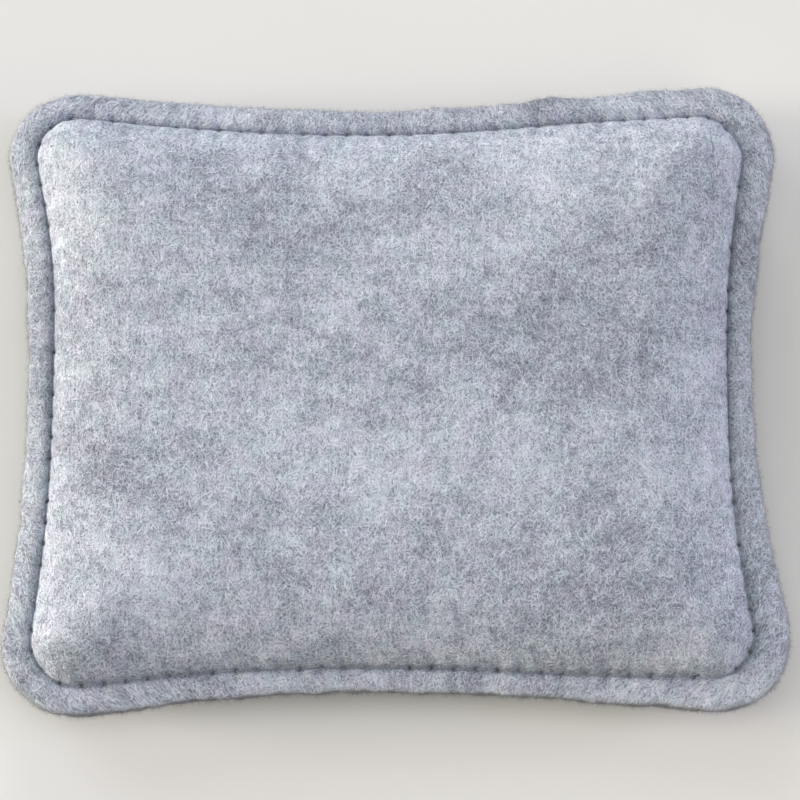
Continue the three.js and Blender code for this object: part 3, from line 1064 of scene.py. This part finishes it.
def grain_material():
    n = Nodes("whole_grain")
    place = n.scaled(n.add("TexCoord").outputs["Object"], 1 / GRAIN_SIZE)
    cells = n.add("TexVoronoi", {"Vector": place, "Scale": 1.0}, voronoi_dimensions="3D")
    chance = n.add("SeparateColor", {0: cells.outputs["Color"]}).outputs[0]
    husk = n.ramp(chance, HUSK_STOPS)
    # Painted shade, darker towards the grooves between the grains
    gap_shade = n.remap(cells.outputs["Distance"], *HUSK_GAP_SHADE_RANGE)
    n.put(n.shader.inputs["Base Color"], n.blend(gap_shade, husk, (*HUSK_GAP_SHADE, 1)))
    n.put(n.shader.inputs["Normal"], n.bump(cells.outputs["Distance"], -HUSK_BUMP))
    n.shader.inputs["Roughness"].default_value = 0.55
    return n.material


felt = felt_material()
fibre = nap_material()
thread = thread_material()
for obj in (top_felt, bottom_felt):
    obj.data.materials.append(felt)
for obj in (top_nap, bottom_nap):
    obj.data.materials.append(fibre)
for obj in threads.values():
    obj.data.materials.append(thread)
grain_body.data.materials.append(grain_material())


# What each piece is

for obj in (top_felt, bottom_felt, top_nap, bottom_nap, grain_body, *threads.values()):
    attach(obj, "root")
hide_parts("top_felt")
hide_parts("bottom_felt")
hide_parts("grain_filling")
for node, obj in threads.items():
    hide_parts(node)


# Floor, light and camera

FLOOR_SIZE = 8.0
FLOOR_TINT_SCALE = 6.0
FLOOR_STOPS = ((0.3, (0.775, 0.762, 0.738)), (0.7, (0.8, 0.787, 0.763)))


def floor():
    half = FLOOR_SIZE / 2
    corners = np.array([(-half, -half, 0), (half, -half, 0), (half, half, 0), (-half, half, 0)])
    obj = new_object("floor", new_mesh("floor", corners, [(0, 1, 2, 3)]))
    n = Nodes("pale_floor")
    place = n.add("TexCoord").outputs["Object"]
    tint = n.noise(place, FLOOR_TINT_SCALE, dimensions="3D").outputs[0]
    n.put(n.shader.inputs["Base Color"], n.ramp(tint, FLOOR_STOPS))
    n.shader.inputs["Roughness"].default_value = 0.9
    n.shader.inputs["Specular IOR Level"].default_value = 0.1
    obj.data.materials.append(n.material)


def lamp(name, place, size, power, colour):
    """A round lamp at that place, turned to the pad."""
    data = bpy.data.lights.new(name, "AREA")
    data.shape = "DISK"
    data.size = size
    data.energy = power
    aim_light(name, data, place, colour)


def sun(name, place, width, strength, colour):
    """Light from that direction, soft by its angular width, and even over the whole floor."""
    data = bpy.data.lights.new(name, "SUN")
    data.angle = math.radians(width)
    data.energy = strength
    aim_light(name, data, place, colour)


def aim_light(name, data, place, colour):
    data.color = colour
    obj = bpy.data.objects.new(name, data)
    obj.location = place
    obj.rotation_euler = (-Vector(place)).to_track_quat("-Z", "Y").to_euler()
    bpy.context.scene.collection.objects.link(obj)


def world(strength, colour):
    made = bpy.data.worlds.new("sky")
    made.use_nodes = True
    background = made.node_tree.nodes["Background"]
    background.inputs["Color"].default_value = (*colour, 1)
    background.inputs["Strength"].default_value = strength
    bpy.context.scene.world = made


CAMERA_TILT = math.radians(10.4)  # from straight down, towards the front
CAMERA_ROLL = math.radians(-0.5)
CAMERA_DISTANCE = 0.90
CAMERA_LENS = 157.7
CAMERA_SENSOR = 36
AIM = Vector((1.6 * MM, -0.9 * MM, 14.5 * MM))


def camera():
    data = bpy.data.cameras.new("camera")
    data.lens = CAMERA_LENS
    data.sensor_width = CAMERA_SENSOR
    obj = bpy.data.objects.new("camera", data)
    turn = Euler((CAMERA_TILT, 0, CAMERA_ROLL))
    obj.location = AIM + turn.to_matrix() @ Vector((0, 0, CAMERA_DISTANCE))
    obj.rotation_euler = turn
    bpy.context.scene.collection.objects.link(obj)
    bpy.context.scene.camera = obj


# Each light: its place, its width (degrees for a sun, metres for a lamp), strength and colour
floor()
world(0.15, (1.0, 1.0, 1.0))
sun("window", (-1.1, 0.05, 0.2), 20, 3.8, (1.0, 0.9, 0.78))
lamp("room_left", (-0.75, 0.0, 0.65), 0.7, 1.45, (0.97, 1.0, 0.93))
sun("back_window", (-0.7, 0.7, 0.4), 28, 0.98, (0.84, 0.9, 1.0))
sun("back_fill", (-0.1, 1.1, 0.25), 20, 1.3, (0.95, 1.0, 0.97))
lamp("ceiling", (0.0, 0.0, 1.3), 1.0, 3.6, (0.95, 1.0, 1.0))
sun("cool_fill", (0.95, 0.1, 0.32), 28, 1.62, (0.8, 0.78, 1.0))
lamp("front_fill", (0.7, -0.5, 0.6), 0.7, 2.0, (1.0, 0.95, 0.74))
camera()
bpy.context.scene.view_settings.view_transform = "Standard"
